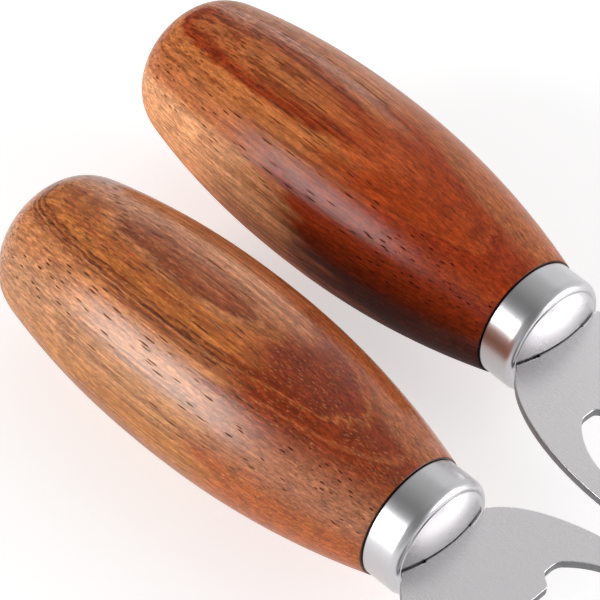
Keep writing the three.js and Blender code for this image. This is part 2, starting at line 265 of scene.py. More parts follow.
def fillet(before, corner, after, radius, steps=12):
    """The arc that replaces a corner."""
    before, corner, after = Vector(before), Vector(corner), Vector(after)
    back = (before - corner).normalized()
    ahead = (after - corner).normalized()
    half = math.acos(max(-1, min(1, back.dot(ahead)))) / 2
    centre = corner + (back + ahead).normalized() * radius / math.sin(half)
    start = corner + back * radius / math.tan(half) - centre
    turn = (2 * half - math.pi) * math.copysign(1, back.x * ahead.y - back.y * ahead.x)
    points = []
    for i in range(steps + 1):
        angle = turn * i / steps
        c, s = math.cos(angle), math.sin(angle)
        points.append((centre.x + c * start.x - s * start.y, centre.y + s * start.x + c * start.y))
    return points


def tangent_angle(point, radius, sign):
    return math.atan2(point[1], point[0]) + sign * math.acos(radius / math.hypot(*point))


# ---- grips and ferrules ----

def arm_place(arm):
    """The frame of an arm's grip: origin at the junction, X along the axis towards the pivot."""
    low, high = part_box(arm + "_arm_plate")
    spot = Vector((-REACH[arm] * MM, SIDE[arm] * JUNCTION_Y * MM, (low.z + high.z) / 2))
    return Matrix.Translation(spot) @ Matrix.Rotation(-SIDE[arm] * CONVERGENCE, 4, "Z")


def grip_radius(along):
    barrel = GRIP_RADIUS - BARREL_CURVE * abs(along + BELLY) ** BARREL_POWER
    left = max(0.0, 1 - (along + GRIP_LENGTH) / BUTT_ROUNDING)
    return barrel * (1 - left ** BUTT_POWER) ** (1 / BUTT_POWER)


def tang_slot(arm, start, end):
    """The space of the arm's tang and its clearance, from start to end along the grip's axis."""
    half_width, half_height = TANG_HALF + CLEARANCE, SHEET / 2 + CLEARANCE
    return box_cutter((start, -half_width, -half_height), (end, half_width, half_height), arm_place(arm))


def grip(arm):
    butt_steps, barrel_steps = 26, 110
    butt = [-GRIP_LENGTH + BUTT_ROUNDING * (i / butt_steps) ** BUTT_CROWDING for i in range(butt_steps)]
    barrel_start = -GRIP_LENGTH + BUTT_ROUNDING
    barrel_step = (-END_BREAK - barrel_start) / barrel_steps
    barrel = [barrel_start + barrel_step * i for i in range(barrel_steps + 1)]
    profile = [(s, grip_radius(s)) for s in butt + barrel]
    profile += [(-END_BREAK / 3, grip_radius(0) - END_BREAK / 3), (0, grip_radius(0) - END_BREAK)]
    profile += [(0, SPIGOT_RADIUS), (SPIGOT_LENGTH, SPIGOT_RADIUS), (SPIGOT_LENGTH, 0)]
    piece = turned(arm + "_grip_wood", profile, ROUND_STEPS, arm_place(arm))
    return cut(piece, tang_slot(arm, -TANG_LENGTH - SLOT_SPARE, SPIGOT_LENGTH + SLOT_SPARE))


def dome_height(w):
    rise = FACE_APEX - FACE_RIM
    radius = (FACE_RADIUS ** 2 + rise ** 2) / (2 * rise)
    return FACE_APEX - radius + math.sqrt(radius ** 2 - w ** 2)


def ferrule(arm):
    edge = FERRULE_EDGE
    shoulder = ellipse_arc(SHOULDER, FACE_RADIUS, FACE_RIM - SHOULDER, FERRULE_RADIUS - FACE_RADIUS,
                           math.pi / 2, SHOULDER_END, 10)
    groove = FACE_RIM - CREASE_DEPTH
    face_edge = FACE_RADIUS - CREASE_WIDTH
    dome_steps = 14
    dome = [face_edge * (1 - i / dome_steps) for i in range(dome_steps + 1)]
    start, radius = FERRULE_START, FERRULE_RADIUS
    profile = [(FERRULE_FLOOR, 0), (FERRULE_FLOOR, FERRULE_BORE), (start, FERRULE_BORE),
               (start, radius - edge), (start + edge / 3, radius - edge / 3), (start + edge, radius),
               (start + 2 * edge, radius), (SHOULDER - edge, radius)]
    profile += shoulder
    profile += [(groove, FACE_RADIUS - CREASE_WIDTH * 0.1), (groove, FACE_RADIUS - CREASE_WIDTH * 0.5)]
    profile += [(dome_height(w), w) for w in dome]
    piece = turned(arm + "_ferrule_cup", profile, ROUND_STEPS, arm_place(arm))
    return cut(piece, tang_slot(arm, FACE_APEX / 2, 2 * FACE_APEX))


# ---- arm plates ----

def arm_point(arm, s, w):
    """(s along, w outwards from) the grip's axis, in the tool's frame at positive Y."""
    c, n = math.cos(CONVERGENCE), math.sin(CONVERGENCE)
    return (-REACH[arm] + s * c + w * n, JUNCTION_Y - s * n + w * c)


def loop_edge(arm, sign):
    """Half of the tang, shoulders and loop, from the tang's end to where the strip leaves it."""
    along, across = TANG_CORNER
    edge = [(-TANG_LENGTH, TANG_HALF - across), (-TANG_LENGTH + along, TANG_HALF)]
    shoulder_steps = 8
    widths = [TANG_HALF + (FACE_RADIUS - TANG_HALF) * i / shoulder_steps for i in range(shoulder_steps + 1)]
    edge += [(dome_height(w) + CLEARANCE, w) for w in widths]
    rise = LOOP_HALF - FLANK_BASE
    start = math.pi - math.asin((FACE_RADIUS - FLANK_BASE) / rise)
    flank = ellipse_arc(LOOP_CENTRE, FLANK_BASE, FLANK_LENGTH, rise, start, math.pi / 2, 48)
    nose = ellipse_arc(LOOP_CENTRE, 0, NOSE_LENGTH, LOOP_HALF, math.pi / 2, math.pi / 2 - NECK_ANGLE, 24)
    return [arm_point(arm, s, sign * w) for s, w in edge + flank[1:] + nose[1:]]


def leave_to(edge, y):
    """Where the edge's last stretch, carried on straight, reaches y."""
    (x0, y0), (x1, y1) = edge[-2:]
    return (x1 + (x1 - x0) * (y - y1) / (y1 - y0), y)


def plate_outline(arm):
    outer, inner = loop_edge(arm, 1), loop_edge(arm, -1)
    outer_neck, inner_neck = leave_to(outer, STRIP_OUTER), leave_to(inner, STRIP_INNER)
    outer_front = (STRIP_FRONT + STRIP_SLANT[0], STRIP_OUTER)
    inner_front = (STRIP_FRONT + STRIP_SLANT[1], STRIP_INNER)
    eye_from = tangent_angle(outer_front, EYE_RADIUS, -1)
    eye_to = tangent_angle(inner_front, EYE_RADIUS, 1) - 2 * math.pi
    eye = ellipse_arc(0, 0, EYE_RADIUS, EYE_RADIUS, eye_from, eye_to, 72)
    return (outer[:-1] + fillet(outer[-1], outer_neck, outer_front, NECK_ROUNDING[0])
            + fillet(outer_neck, outer_front, eye[0], FRONT_ROUNDING[0]) + eye
            + fillet(eye[-1], inner_front, inner_neck, FRONT_ROUNDING[1])
            + fillet(inner_front, inner_neck, inner[-1], NECK_ROUNDING[1]) + inner[-2::-1])


def opening_outline(arm):
    back_half = math.sqrt(OPENING_RADIUS ** 2 - (OPENING_CENTRE - OPENING_BACK) ** 2)
    ring = math.pi - math.asin(back_half / OPENING_RADIUS)

    def half(sign):
        tip = (TONGUE_TIP, sign * TONGUE_HALF)
        root = (OPENING_BACK, sign * TONGUE_ROOT)
        corner = (OPENING_BACK, sign * back_half)
        beyond = (OPENING_BACK + back_half, sign * (back_half + OPENING_CENTRE - OPENING_BACK))
        return (fillet((TONGUE_TIP, 0), tip, root, TIP_ROUNDING) + fillet(tip, root, corner, ROOT_ROUNDING)
                + fillet(root, corner, beyond, BACK_ROUNDING))

    start = ring - BACK_ROUNDING / (OPENING_RADIUS * math.tan(ring / 2))
    arc = ellipse_arc(OPENING_CENTRE, 0, OPENING_RADIUS, OPENING_RADIUS, start, -start, 110)
    return [arm_point(arm, s, w) for s, w in half(1) + arc + half(-1)[::-1]]


def mirrored(points, arm):
    return [(x, SIDE[arm] * y) for x, y in points]


def rivet_places():
    return {"rear": JAW_CENTRE - RIVET_SPREAD, "front": JAW_CENTRE + RIVET_SPREAD}


def rivet_holes(arm):
    return [circle(x, SIDE[arm] * RIVET_Y, RIVET_RADIUS + CLEARANCE, 32) for x in rivet_places().values()]


def arm_plate(arm):
    low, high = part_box(arm + "_arm_plate")
    holes = [mirrored(opening_outline(arm), arm), circle(0, 0, EYE_HOLE)] + rivet_holes(arm)
    outlines = [mirrored(plate_outline(arm), arm)] + holes
    return sheet_piece(arm + "_arm_steel", outlines, low.z / MM, high.z / MM, EDGE_BREAK)


# ---- jaws and rivets ----

def jaw_outline():
    reach = math.asin(SEAT_HALF_CHORD / SEAT_RADIUS)
    centre_y = JAW_FACE - SEAT_RADIUS * math.cos(reach)
    seat = []
    for i in range(2 * TEETH + 1):
        angle = reach * (1 - i / TEETH)
        radius = SEAT_RADIUS + (i % 2) * TOOTH_DEPTH
        seat.append((JAW_CENTRE + radius * math.sin(angle), centre_y + radius * math.cos(angle)))
    front, rear = JAW_CENTRE + JAW_HALF_LENGTH, JAW_CENTRE - JAW_HALF_LENGTH
    return (seat + fillet(seat[-1], (rear, JAW_FACE), (rear, JAW_BACK), NOSE_ROUNDING)
            + fillet((rear, JAW_FACE), (rear, JAW_BACK), (front, JAW_BACK), JAW_ROUNDING)
            + fillet((rear, JAW_BACK), (front, JAW_BACK), (front, JAW_FACE), JAW_ROUNDING)
            + fillet((front, JAW_BACK), (front, JAW_FACE), seat[0], NOSE_ROUNDING))


def jaw(arm):
    low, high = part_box(arm + "_jaw")
    outlines = [mirrored(jaw_outline(), arm)] + rivet_holes(arm)
    piece = sheet_piece(arm + "_jaw_casting", outlines, low.z / MM, high.z / MM, JAW_EDGE)
    middle = (low.z + high.z) / 2 / MM
    near, far = SIDE[arm] * (STRIP_INNER - CLEARANCE), SIDE[arm] * 2 * JAW_BACK
    half_height = SHEET / 2 + CLEARANCE
    slot = box_cutter((JAW_CENTRE - 2 * JAW_HALF_LENGTH, min(near, far), middle - half_height),
                      (JAW_CENTRE + 2 * JAW_HALF_LENGTH, max(near, far), middle + half_height))
    return cut(piece, slot)


def jaw_rivet(arm, place, x):
    low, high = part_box(f"{arm}_jaw_rivet_{place}")
    reach = JAW_HEIGHT / 2 + STACK_GAP
    head = [(h, r) for r, h in ellipse_arc(0, reach, RIVET_HEAD, RIVET_RISE, 0, math.pi / 2, 12)]
    upper = [(reach, RIVET_RADIUS)] + head
    lower = [(-h, r) for h, r in reversed(upper)]
    middle = (low.z + high.z) / 2 / MM
    return turned(f"{arm}_rivet_{place}", lower + upper, 48, standing(x, SIDE[arm] * RIVET_Y, middle))


# ---- pivot stack ----

def washer(node, name, outer):
    low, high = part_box(node)
    bottom, top = low.z / MM, high.z / MM
    inner, edge = SHANK_RADIUS + CLEARANCE, min(WASHER_BREAK, (top - bottom) / 4)
    ring = [(bottom, inner + edge), (bottom, outer - edge), (bottom + edge, outer), (top - edge, outer),
            (top, outer - edge), (top, inner + edge), (top - edge, inner), (bottom + edge, inner),
            (bottom, inner + edge)]
    return turned(name, ring, 96, standing(0, 0, 0))


def hex_radius(angle, flats):
    sixth = math.pi / 3
    return flats / 2 / math.cos((angle % sixth) - sixth / 2)


def cap_nut():
    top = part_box("cap_nut")[1].z / MM
    hex_bottom = top - NUT_HEX
    half_flats, corner = NUT_FLATS / 2, NUT_FLATS / math.sqrt(3)
    chamfer = [(0, 0), (0, half_flats - 0.1)]
    for k in (i / 8 for i in range(1, 9)):
        chamfer.append((NUT_CHAMFER * k, half_flats + (corner - half_flats) * k ** NUT_CHAMFER_POWER))
    limits = [(hex_bottom + h, r) for h, r in chamfer] + [(top - h, r) for h, r in reversed(chamfer)]

    def radius_at(index, angle):
        return min(hex_radius(angle, NUT_FLATS), limits[index][1])

    body = turned("cap_nut_hex", limits, 144, standing(0, 0, 0), radius_at)
    waist = hex_bottom + NUT_WAIST
    sweep = math.acos(NUT_TIP_RADIUS / NUT_DOME_RADIUS)
    arc = ellipse_arc(0, 0, NUT_DOME_RADIUS, 1, 0, sweep, 20)
    dome = [(waist - waist * h / math.sin(sweep), r) for r, h in reversed(arc)]
    cap = turned("cap_nut_dome", [(dome[0][0], 0)] + dome + [(waist, 0)], 96, standing(0, 0, 0))
    return body, cap


def pivot_screw():
    low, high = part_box("pivot_screw")
    foot, top = low.z / MM, high.z / MM
    head_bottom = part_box("head_washer")[1].z / MM + STACK_GAP
    sweep = math.pi / 2 - HEAD_FLAT
    arc = ellipse_arc(0, head_bottom + HEAD_WALL, HEAD_RADIUS, HEAD_HEIGHT - HEAD_WALL, 0, sweep, 24)
    head = [(h, r) for r, h in arc]
    profile = [(foot, 0), (foot, SHANK_RADIUS - FOOT_BREAK), (foot + FOOT_BREAK, SHANK_RADIUS),
               (head_bottom, SHANK_RADIUS), (head_bottom, HEAD_RADIUS - HEAD_BREAK),
               (head_bottom + HEAD_BREAK, HEAD_RADIUS)] + head + [(head[-1][0], 0)]
    piece = turned("pivot_screw_body", profile, 96, standing(0, 0, 0))
    corner, bottom, above = SOCKET_FLATS / math.sqrt(3), top - SOCKET_DEPTH, top + 1
    hexagon = [(bottom, 0), (bottom, corner), (above, corner), (above, 0)]
    return cut(piece, turned("cutter", hexagon, 6, standing(0, 0, 0)), 30)


# ---- shader helpers ----

def add(tree, kind, inputs=None, **settings):
    node = tree.nodes.new("ShaderNode" + kind)
    for key, value in settings.items():
        setattr(node, key, value)
    for key, value in (inputs or {}).items():
        if isinstance(value, bpy.types.NodeSocket):
            tree.links.new(value, node.inputs[key])
        else:
            node.inputs[key].default_value = value
    return node


def material(name, **sockets):
    """A new material and its tree, with a Principled shader whose constants are given."""
    made = bpy.data.materials.new(name)
    made.use_nodes = True
    tree = made.node_tree
    shader = tree.nodes["Principled BSDF"]
    for key, value in sockets.items():
        shader.inputs[key.replace("_", " ").title().replace("Ior", "IOR")].default_value = value
    return made, tree, shader


def colour(red, green, blue):
    """A linear colour from the 0 to 255 values of a display colour."""
    def linear(value):
        value /= 255
        return value / 12.92 if value <= 0.04045 else ((value + 0.055) / 1.055) ** 2.4
    return (linear(red), linear(green), linear(blue), 1)


def surface_mm(tree, place=Matrix.Identity(4)):
    """The surface point in millimetres, measured from the given place."""
    inputs = {"Vector": add(tree, "TexCoord").outputs["Object"], "Scale": (MM, MM, MM),
              "Location": place.translation, "Rotation": place.to_euler()}
    return add(tree, "Mapping", inputs, vector_type="TEXTURE").outputs["Vector"]


def mapped(tree, point, stretch=(1, 1, 1), turn=(0, 0, 0), shift=(0, 0, 0)):
    inputs = {"Vector": point, "Scale": stretch, "Rotation": turn, "Location": shift}
    return add(tree, "Mapping", inputs).outputs["Vector"]


def noise(tree, vector, scale=1, detail=3, roughness=0.5, distortion=0):
    inputs = {"Vector": vector, "Scale": scale, "Detail": detail, "Roughness": roughness,
              "Distortion": distortion}
    return add(tree, "TexNoise", inputs).outputs["Fac"]


def maths(tree, operation, *values):
    node = add(tree, "Math", operation=operation)
    for socket, value in zip(node.inputs, values):
        if isinstance(value, bpy.types.NodeSocket):
            tree.links.new(value, socket)
        else:
            socket.default_value = value
    return node.outputs["Value"]


def product(tree, first, *others):
    for other in others:
        first = maths(tree, "MULTIPLY", first, other)
    return first


def between(tree, value, low, high, to_low=0, to_high=1, smooth=True):
    """Maps low to high onto to_low to to_high and holds the ends."""
    kind = "SMOOTHSTEP" if smooth else "LINEAR"
    inputs = {"Value": value, "From Min": low, "From Max": high, "To Min": to_low, "To Max": to_high}
    return add(tree, "MapRange", inputs, interpolation_type=kind).outputs["Result"]


def blend(tree, factor, first, second, mode="MIX"):
    node = add(tree, "Mix", data_type="RGBA", blend_type=mode)
    for index, value in ((0, factor), (6, first), (7, second)):
        if isinstance(value, bpy.types.NodeSocket):
            tree.links.new(value, node.inputs[index])
        else:
            node.inputs[index].default_value = value
    return node.outputs[2]


def ramp(tree, factor, stops):
    """A colour ramp from (place, colour) stops."""
    node = add(tree, "ValToRGB", {"Fac": factor})
    elements = node.color_ramp.elements
    while len(elements) < len(stops):
        elements.new(0.5)
    for element, (place, shade) in zip(elements, stops):
        element.position = place
        element.color = shade
    return node.outputs["Color"]


def bump(tree, height, distance, strength):
    inputs = {"Height": height, "Distance": distance, "Strength": strength}
    return add(tree, "Bump", inputs).outputs["Normal"]


# ---- wood ----

FLANK_SLANT = 26  # how far the flank's edge moves forward per radian down the side, in millimetres
FLANK_MIDDLE = math.radians(60)  # how far down the side the flank's edge is where flank_from says
RING_WANDER = 0.3  # how far each kind of waviness moves the rings, in millimetres
ALONG_WANDER = 12  # and the edges of the zones along the grip, in millimetres
ANGLE_WANDER = 0.2  # and round it, in radians
LINES_PER_MM = 4.2
SEAM_SHADE = (-0.12, -0.03)  # painted shade of the gap at the ferrule, a dark line on the wood, in millimetres from the junction
LINE_TINT = (0.55, 0.45, 0.4)
STREAK_TINT = (0.52, 0.36, 0.27)
PORE_TINT = (0.16, 0.09, 0.07)
SEAM_SHADE_TINT = (0.1, 0.08, 0.08)
FLECK_AND_SHIMMER = (228, 154, 90)

# Each timber has a few named tones, in display colours. Its growth layers are an order of tones,
# each with its depth below the crown. The near side is the one at negative Y.
LEFT_WOOD = {
    "centre": -51.5, "crown": 17.5, "pitch": 0.034, "bow": 0.0014, "roll": 0,
    "gloss": 1.0, "underside": 0.6, "flecks": 0.34, "grain": (0.71, 1.35),
    "tones": {"umber": (125, 62, 32), "bark": (145, 82, 35), "brown": (145, 78, 42),
              "chestnut": (160, 80, 38), "russet": (135, 50, 14), "copper": (152, 72, 34),
              "amber": (157, 78, 26), "sienna": (172, 96, 55), "ochre": (172, 110, 50),
              "honey": (190, 112, 55), "tan": (190, 122, 75), "fawn": (175, 120, 78),
              "straw": (207, 138, 95), "dusty": (157, 96, 65)},
    "near": [(0, "sienna"), (0.12, "copper"), (0.2, "chestnut"), (0.31, "umber"), (0.38, "straw"),
             (0.46, "honey"), (0.6, "honey"), (0.76, "chestnut"), (0.95, "honey"), (1.15, "chestnut"),
             (1.35, "honey"), (1.95, "honey"), (2.07, "umber"), (2.2, "umber"), (2.3, "honey"),
             (2.43, "honey"), (2.52, "umber"), (2.66, "umber"), (2.77, "tan"), (3, "brown"),
             (3.12, "brown"), (3.25, "tan"), (3.42, "sienna"), (3.6, "tan"), (5, "tan"), (9, "fawn"),
             (13, "fawn"), (18, "ochre"), (24, "bark"), (30, "ochre"), (36, "bark")],
    # the far side's pale straw tones near depth 1 to 1.4 are partly the wood's own colour, partly painted
    # highlight
    "far": [(0, "sienna"), (1, "straw"), (1.4, "straw"), (3.2, "sienna"), (6, "sienna"),
            (12, "ochre"), (24, "bark"), (30, "ochre"), (36, "bark")],
    "front": [(0, "copper"), (0.5, "copper"), (0.65, "honey"), (0.8, "copper"), (1, "russet"),
              (2.55, "russet"), (2.64, "honey"), (2.72, "russet"), (3.9, "russet"), (4, "sienna"),
              (4.15, "russet"), (8.5, "dusty"), (11, "dusty"), (15, "amber"), (36, "amber")],
    "front_from": (-38, -24),
    "far_front": "sienna",
    "streaks": (0.45, 0.6),
}
RIGHT_WOOD = {
    "centre": -62, "crown": 16.8, "pitch": 0.1, "bow": 0.0019, "roll": math.radians(10),
    "gloss": 0.56, "underside": 0.3, "flecks": 0.05, "grain": (0.76, 1.28),
    "tones": {"ebony": (60, 19, 9), "maroon": (78, 27, 12), "mahogany": (112, 42, 18),
              "oxblood": (130, 46, 18), "garnet": (150, 52, 18), "cinnabar": (160, 62, 20),
              "brick": (175, 76, 32), "copper": (174, 86, 40), "umber": (152, 80, 40),
              "clay": (174, 100, 56), "tan": (183, 108, 58), "amber": (192, 112, 60),
              "peach": (187, 117, 78), "straw": (207, 146, 101), "rose_and_sheen": (195, 137, 116)},
    "near": [(0, "amber"), (0.5, "copper"), (0.66, "cinnabar"), (0.92, "oxblood"), (0.98, "copper"),
             (1.08, "amber"), (1.45, "tan"), (1.7, "amber"), (2, "tan"), (2.12, "umber"), (2.25, "tan"),
             (2.9, "tan"), (3.2, "umber"), (3.4, "tan"), (5.2, "clay"), (6, "tan"), (7.5, "straw"),
             (14, "straw"), (24, "clay"), (30, "umber"), (36, "mahogany")],
    # the far side's pale rose tones near depth 1.4 to 1.8 are partly the wood's own colour, partly painted
    # highlight
    "far": [(0, "tan"), (0.3, "tan"), (1.4, "rose_and_sheen"), (1.8, "rose_and_sheen"), (2.1, "peach"), (5, "peach"),
            (7, "clay"), (14, "umber"), (24, "oxblood"), (30, "umber"), (36, "mahogany")],
    "front": [(0, "brick"), (1.3, "brick"), (1.8, "cinnabar"), (3.3, "cinnabar"), (3.45, "brick"),
              (3.6, "garnet"), (4.3, "garnet"), (6, "cinnabar"), (9, "cinnabar"), (20, "mahogany"),
              (36, "maroon")],
    "front_from": (-46, -28),
    "far_front": "clay",
    # the flank's tones darken down the near side, which faces the other grip: partly the wood's own colour,
    # partly painted shade
    "flank": [(-110, "ebony"), (-92, "maroon"), (-72, "oxblood"), (-40, "garnet")],
    "flank_from": (-60, -42),
    "streaks": (1.0, 0.4),
}


def around(tree, angle, start, end, *ends):
    """A step between two angles on the grip, in degrees from the top towards positive Y."""
    return between(tree, angle, math.radians(start), math.radians(end), *ends)


def crown_depth(tree, point, wood):
    """How deep below the crown a point's growth layer lies: the layers lean and bow along the grip."""
    rolled = mapped(tree, point, turn=(-wood["roll"], 0, 0))
    height = add(tree, "SeparateXYZ", {"Vector": rolled}).outputs["Z"]
    along = add(tree, "SeparateXYZ", {"Vector": point}).outputs["X"]
    along = maths(tree, "SUBTRACT", along, wood["centre"])
    bow = maths(tree, "MULTIPLY", maths(tree, "MULTIPLY", along, along), wood["bow"])
    lean = maths(tree, "SUBTRACT", bow, maths(tree, "MULTIPLY", along, wood["pitch"]))
    return maths(tree, "SUBTRACT", wood["crown"], maths(tree, "ADD", height, lean))


def toned(tree, value, wood, zone):
    """The timber's tones of one zone, in their order, along the value."""
    first, last = wood[zone][0][0], wood[zone][-1][0]
    stops = [((at - first) / (last - first), colour(*wood["tones"][tone])) for at, tone in wood[zone]]
    return ramp(tree, between(tree, value, first, last, smooth=False), stops)


def flanked(tree, wood, base, along, angle):
    """Adds the dark flank on the near side, whose edge slants forward down the side: partly the wood's own
    darker tone, partly painted shade that deepens down the side.
    """
    degrees = maths(tree, "DEGREES", angle)
    slant = maths(tree, "MULTIPLY", maths(tree, "ADD", angle, FLANK_MIDDLE), FLANK_SLANT)
    reach = product(tree, between(tree, maths(tree, "ADD", along, slant), *wood["flank_from"]),
                    around(tree, angle, -40, -58), around(tree, angle, -165, -135))
    return blend(tree, reach, base, toned(tree, degrees, wood, "flank"))


def heartwood(tree, wood, depth, along, angle):
    """The grip's broad colours: rings of the near, far and front parts, and a darker flank, partly the
    wood's own tone and partly painted shade.
    """
    far = around(tree, angle, 0, 12)
    front = between(tree, along, *wood["front_from"])
    # the far side's pale tones are partly painted highlight
    base = blend(tree, far, toned(tree, depth, wood, "near"), toned(tree, depth, wood, "far"))
    base = blend(tree, front, base, toned(tree, depth, wood, "front"))
    far_front = product(tree, far, front, between(tree, depth, 2.6, 3.4), between(tree, depth, 16, 8), 0.8)
    base = blend(tree, far_front, base, colour(*wood["tones"][wood["far_front"]]))
    if "flank" in wood:
        base = flanked(tree, wood, base, along, angle)
    return base, front


def pores(tree, point, density, half_length, half_width, shift):
    """Dark dashes along the grain: 1 inside a pore, 0 outside."""
    stretch = (density * half_width / half_length, density, density)
    cell = add(tree, "TexVoronoi", {"Vector": mapped(tree, point, stretch, shift=shift), "Scale": 1,
                                    "Randomness": 1}, feature="F1").outputs["Distance"]
    reach = density * half_width
    return between(tree, cell, reach * 0.75, reach, 1, 0)


def multiplied(tree, shade, tone):
    grey = add(tree, "CombineColor", {"Red": tone, "Green": tone, "Blue": tone}).outputs["Color"]
    return blend(tree, 1.0, shade, grey, "MULTIPLY")


def darkened(tree, base, factor, tint):
    """Multiplies by the tint where the factor is 1."""
    return blend(tree, factor, base, blend(tree, 1.0, base, (*tint, 1), "MULTIPLY"))


def grown(tree, point, wood, seed):
    """Depth below the crown, place along and angle round the grip, and two of the noises that bend them."""
    place = add(tree, "SeparateXYZ", {"Vector": point}).outputs
    broad = noise(tree, mapped(tree, point, (0.02, 0.08, 0.08), shift=(seed, 0, 0)), detail=2)
    wavy = noise(tree, mapped(tree, point, (0.06, 0.35, 0.35), shift=(0, seed, 0)), detail=3)
    shaky = noise(tree, mapped(tree, point, (0.25, 1.3, 1.3), shift=(0, 0, seed)), detail=3)
    depth = crown_depth(tree, point, wood)
    for wander in (broad, wavy, shaky):
        depth = maths(tree, "ADD", depth, between(tree, wander, 0, 1, -RING_WANDER, RING_WANDER, False))
    drift = between(tree, wavy, 0, 1, -ALONG_WANDER, ALONG_WANDER, False)
    along = maths(tree, "ADD", place["X"], drift)
    angle = maths(tree, "ARCTAN2", place["Y"], place["Z"])
    angle = maths(tree, "ADD", angle, between(tree, wavy, 0, 1, -ANGLE_WANDER, ANGLE_WANDER, False))
    return depth, along, angle, broad, wavy


def grained(tree, point, wood, base, depth, front, broad, wavy, seed):
    """Adds growth lines, dark streaks, fibres and pale flecks, the flecks partly the wood's own and partly
    painted shimmer, and gives the fibres and flecks back.
    """
    across = maths(tree, "MULTIPLY", depth, LINES_PER_MM)
    fine_point = add(tree, "CombineXYZ", {"X": across, "Y": broad}).outputs["Vector"]
    lines = noise(tree, fine_point, scale=1, detail=3, roughness=0.6)
    line = product(tree, between(tree, lines, 0.52, 0.42), between(tree, wavy, 0.3, 0.62), 0.5)
    base = darkened(tree, base, line, LINE_TINT)

    streak = noise(tree, mapped(tree, point, (0.02, 1.5, 1.5), shift=(seed, 8, 0)), detail=3)
    streak = product(tree, between(tree, streak, 0.5, 0.44),
                     between(tree, depth, 0.7, 1.1, *wood["streaks"]),
                     between(tree, front, 0, 1, 1, 0.5), 0.85)
    base = darkened(tree, base, streak, STREAK_TINT)

    fibre = noise(tree, mapped(tree, point, (0.04, 1.8, 1.8)), detail=4, roughness=0.7)
    fleck = noise(tree, mapped(tree, point, (0.55, 2.9, 2.9), shift=(3, seed, 0)), detail=4,
                  roughness=0.7, distortion=0.6)
    curl = noise(tree, mapped(tree, point, (0.5, 0.16, 0.16), shift=(seed, 1, 2)), detail=2)
    tone = product(tree, between(tree, fibre, 0.36, 0.64, 0.74, 1.3, False),
                   between(tree, fleck, 0.38, 0.62, *wood["grain"], False),
                   between(tree, curl, 0.25, 0.75, 0.92, 1.12, False))
    base = multiplied(tree, base, tone)

    # pale flecks: partly the wood's own, partly painted shimmer
    spark = noise(tree, mapped(tree, point, (0.9, 4, 4), shift=(1, 2, seed)), detail=2)
    spark = product(tree, between(tree, spark, 0.58, 0.68), between(tree, wavy, 0.3, 0.55), wood["flecks"])
    return blend(tree, spark, base, colour(*FLECK_AND_SHIMMER)), fibre, fleck


def pored(tree, point, depth, front, angle, seed):
    """Short pores, mostly along the near shoulder, and long ones near the crown."""
    short = pores(tree, point, 1.5, 1.5, 0.13, (seed, 3, 1))
    cluster = noise(tree, mapped(tree, point, (0.05, 0.16, 0.16), shift=(seed, seed, 0)), detail=2)
    aside = product(tree, around(tree, angle, -85, -70), around(tree, angle, -25, -42), 0.8)
    sown = maths(tree, "ADD", between(tree, cluster, 0.44, 0.58, 0.05, 0.4), aside)
    short = maths(tree, "MULTIPLY", short, maths(tree, "MINIMUM", sown, 1))
    long = product(tree, pores(tree, point, 1.5, 2.8, 0.15, (2, seed, 5)),
                   between(tree, depth, 3.8, 2.8, 0.1, 0.68), between(tree, front, 0, 1, 1, 0.2))
    return maths(tree, "MAXIMUM", short, long)


def varnished_wood(name, arm, wood, seed):
    made, tree, shader = material(name, coat_roughness=0.21, coat_ior=1.45, specular_ior_level=0.0)
    point = surface_mm(tree, arm_place(arm))
    depth, along, angle, broad, wavy = grown(tree, point, wood, seed)
    base, front = heartwood(tree, wood, depth, along, angle)
    base, fibre, fleck = grained(tree, point, wood, base, depth, front, broad, wavy, seed)
    pore = pored(tree, point, depth, front, angle, seed)
    base = darkened(tree, base, pore, PORE_TINT)
    junction = add(tree, "SeparateXYZ", {"Vector": point}).outputs["X"]
    # painted shade of the gap between the wood and the ferrule
    base = darkened(tree, base, between(tree, junction, *SEAM_SHADE), SEAM_SHADE_TINT)
    tree.links.new(base, shader.inputs["Base Color"])

    height = maths(tree, "SUBTRACT", maths(tree, "MULTIPLY", fibre, 0.3), pore)
    tree.links.new(bump(tree, height, 0.06 * MM, 0.7), shader.inputs["Normal"])
    tree.links.new(bump(tree, height, 0.2 * MM, 0.6), shader.inputs["Coat Normal"])
    tree.links.new(between(tree, fleck, 0.3, 0.7, 0.42, 0.56, False), shader.inputs["Roughness"])
    gloss = around(tree, angle, -100, -62, wood["gloss"] * wood["underside"], wood["gloss"])
    unfilled = between(tree, pore, 0, 1, 1, 0.15, False)
    tree.links.new(maths(tree, "MULTIPLY", gloss, unfilled), shader.inputs["Coat Weight"])
    return made


# ---- metals ----

def metal(name, shade, roughness, spread, brushing, depth, wear=0.03, contrast=0.03):
    """Bare metal: brushing stretches the fine marks, spread is how much the roughness varies."""
    made, tree, shader = material(name, metallic=1)
    point = surface_mm(tree)
    marks = noise(tree, mapped(tree, point, brushing), detail=5, roughness=0.7)
    cloud = noise(tree, mapped(tree, point, (0.11, 0.11, 0.11)), detail=3)
    coarse = [k * 0.35 for k in brushing]
    scratch = noise(tree, mapped(tree, point, coarse, shift=(7, 3, 5)), detail=6, roughness=0.8)
    rough = between(tree, marks, 0.3, 0.7, roughness - spread, roughness + spread, False)
    rough = maths(tree, "ADD", rough, between(tree, cloud, 0.3, 0.7, -wear, wear, False))
    tree.links.new(rough, shader.inputs["Roughness"])
    light = [min(1, k * (1 + contrast)) for k in shade] + [1]
    dark = [k * (1 - contrast) for k in shade] + [1]
    tone = maths(tree, "ADD", maths(tree, "MULTIPLY", marks, 0.5), maths(tree, "MULTIPLY", scratch, 0.5))
    tree.links.new(blend(tree, between(tree, tone, 0.36, 0.64), dark, light), shader.inputs["Base Color"])
    tree.links.new(bump(tree, maths(tree, "ADD", marks, scratch), depth * MM, 0.5), shader.inputs["Normal"])
    return made


